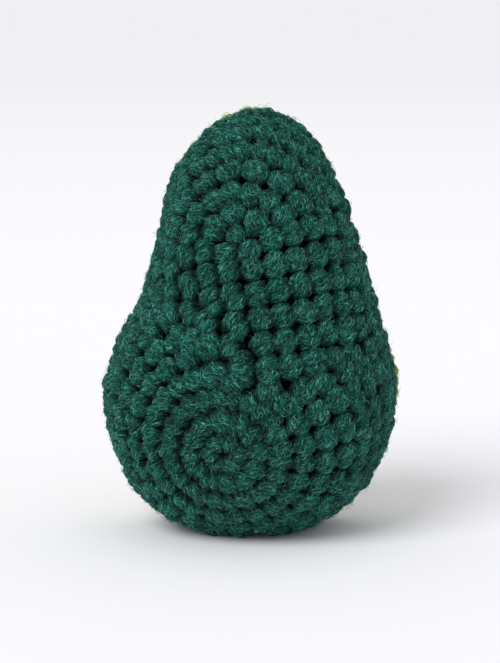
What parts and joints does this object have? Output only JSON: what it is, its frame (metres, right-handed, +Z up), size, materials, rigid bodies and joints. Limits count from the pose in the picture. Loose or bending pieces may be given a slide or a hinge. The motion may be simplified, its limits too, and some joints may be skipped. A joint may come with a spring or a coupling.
{
  "type": "crocheted half avocado toy",
  "caption": "Stuffed crochet toy of an avocado half that stands upright: dark green skin, pale cut side with a brown pit.",
  "frame": {"origin": "middle of the flat spot under the skin that the toy stands on", "axes": "+Z up, +Y from the skin side to the cut side with the pit, +X to the right seen from the skin side"},
  "size_m": [0.0627, 0.0523, 0.0896],
  "materials": {
    "skin_yarn": "dark green wool blend yarn in single crochet, fuzzy and matt",
    "rim_yarn": "yellow green yarn in single crochet, fuzzy and matt",
    "flesh_yarn": "pale yellow green yarn in single crochet, fuzzy and matt",
    "pit_yarn": "brown yarn in single crochet, fuzzy and matt",
    "fibrefill": "loose white polyester fibre"
  },
  "bodies": {
    "root": {"skin": "skin_yarn", "rim": "rim_yarn", "flesh": "flesh_yarn", "pit": "pit_yarn", "stuffing": "fibrefill", "pit_stuffing": "fibrefill"}
  },
  "joints": []
}
